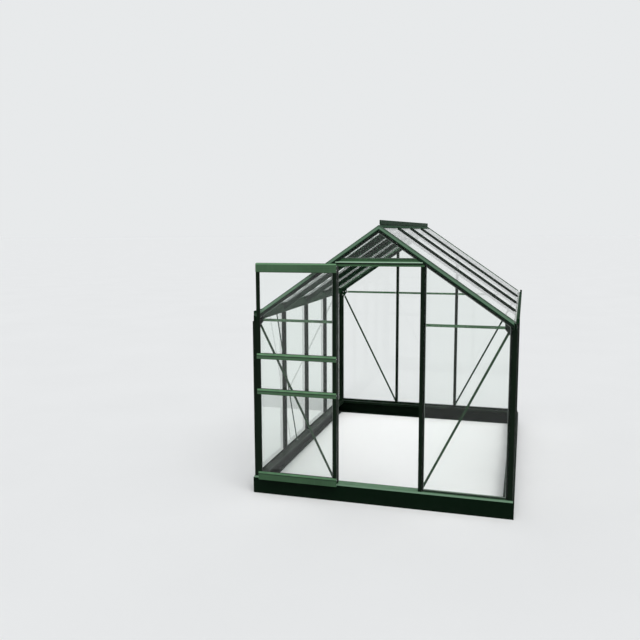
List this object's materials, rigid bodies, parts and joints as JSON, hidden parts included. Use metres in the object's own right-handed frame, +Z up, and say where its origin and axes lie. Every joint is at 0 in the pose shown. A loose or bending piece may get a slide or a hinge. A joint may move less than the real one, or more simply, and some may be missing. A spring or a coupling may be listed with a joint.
{
  "type": "greenhouse with sliding door",
  "caption": "Small glass greenhouse with a green metal frame, low steel base, gabled roof with gutters, roof vent and a sliding door parked open.",
  "frame": {"origin": "centre of the bounding box on the ground, at the underside of the base", "axes": "+X to the right along the door gable, +Y from the door gable into the greenhouse along the ridge, +Z up"},
  "size_m": [1.926, 2.586, 2.065],
  "materials": {
    "green_frame": "satin powder coat",
    "base_steel": "satin powder coat",
    "glass": "clear float glass",
    "black_plastic": "matte"
  },
  "bodies": {
    "greenhouse": {"back_braces": "green_frame", "back_gussets": "green_frame", "back_rails": "green_frame", "back_wall_bars": "green_frame", "base_back": "base_steel", "base_front": "base_steel", "base_left": "base_steel", "base_right": "base_steel", "corner_post_back_left": "green_frame", "corner_post_back_right": "green_frame", "corner_post_front_left": "green_frame", "corner_post_front_right": "green_frame", "door_post_left": "green_frame", "door_post_right": "green_frame", "door_track": "green_frame", "eaves_beam_left": "green_frame", "eaves_beam_right": "green_frame", "front_braces": "green_frame", "front_gussets": "green_frame", "front_rails": "green_frame", "glass_back": "glass", "glass_front": "glass", "glass_left": "glass", "glass_right": "glass", "glass_roof_left": "glass", "glass_roof_right": "glass", "head_bar": "green_frame", "rafter_back_left": "green_frame", "rafter_back_right": "green_frame", "rafter_front_left": "green_frame", "rafter_front_right": "green_frame", "ridge_bar": "green_frame", "roof_bars_left": "green_frame", "roof_bars_right": "green_frame", "side_bars_left": "green_frame", "side_bars_right": "green_frame", "side_brace_left": "green_frame", "side_brace_right": "green_frame", "sill_back": "green_frame", "sill_front": "green_frame", "sill_left": "green_frame", "sill_right": "green_frame", "vent_frame": "green_frame", "vent_glass": "glass", "vent_sill": "green_frame"},
    "door": {"door_bottom_rail": "green_frame", "door_glass": "glass", "door_guides": "black_plastic", "door_head_rail": "green_frame", "door_mid_rails": "green_frame", "door_rollers": "black_plastic", "door_stiles": "green_frame"}
  },
  "joints": [
    {"name": "door_slide", "type": "slide", "parent": "greenhouse", "child": "door", "axis": [1, 0, 0], "range_m": [0, 0.6025]}
  ]
}
